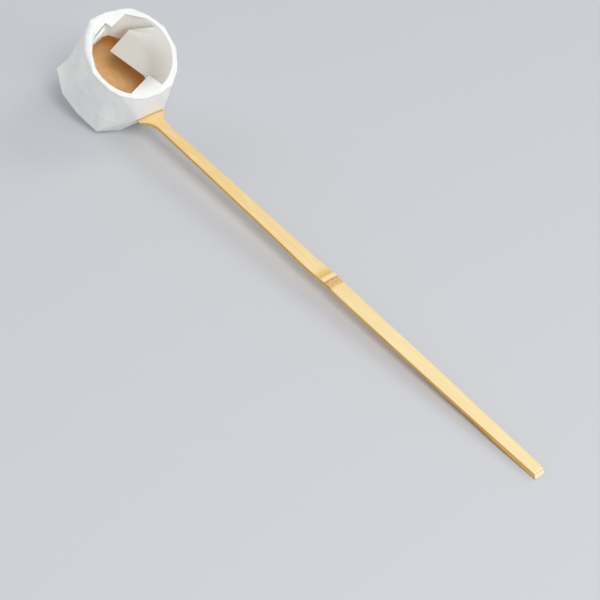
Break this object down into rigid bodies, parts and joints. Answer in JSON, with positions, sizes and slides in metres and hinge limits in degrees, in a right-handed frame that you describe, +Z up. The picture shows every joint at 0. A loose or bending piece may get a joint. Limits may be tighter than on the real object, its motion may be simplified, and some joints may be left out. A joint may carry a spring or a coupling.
{
  "type": "tea ceremony ladle",
  "caption": "Bamboo water ladle for the tea ceremony: a round culm cup on a long flat handle let into its wall, the cup wrapped in folded white paper tucked into its mouth.",
  "frame": {"origin": "under the middle of the ladle's bounding box, on the surface that it lies on", "axes": "+X along the handle from the cup to the tip, +Z up, +Y to the left seen from the cup towards the tip"},
  "size_m": [0.4364, 0.0664, 0.0741],
  "materials": {
    "bamboo_culm": "plain bamboo, unvarnished",
    "bamboo_skin": "bamboo skin, polished by hand",
    "white_paper": "matt thin white paper"
  },
  "bodies": {
    "root": {"cup": "bamboo_culm", "handle": "bamboo_skin", "paper_wrap": "white_paper"}
  },
  "joints": []
}
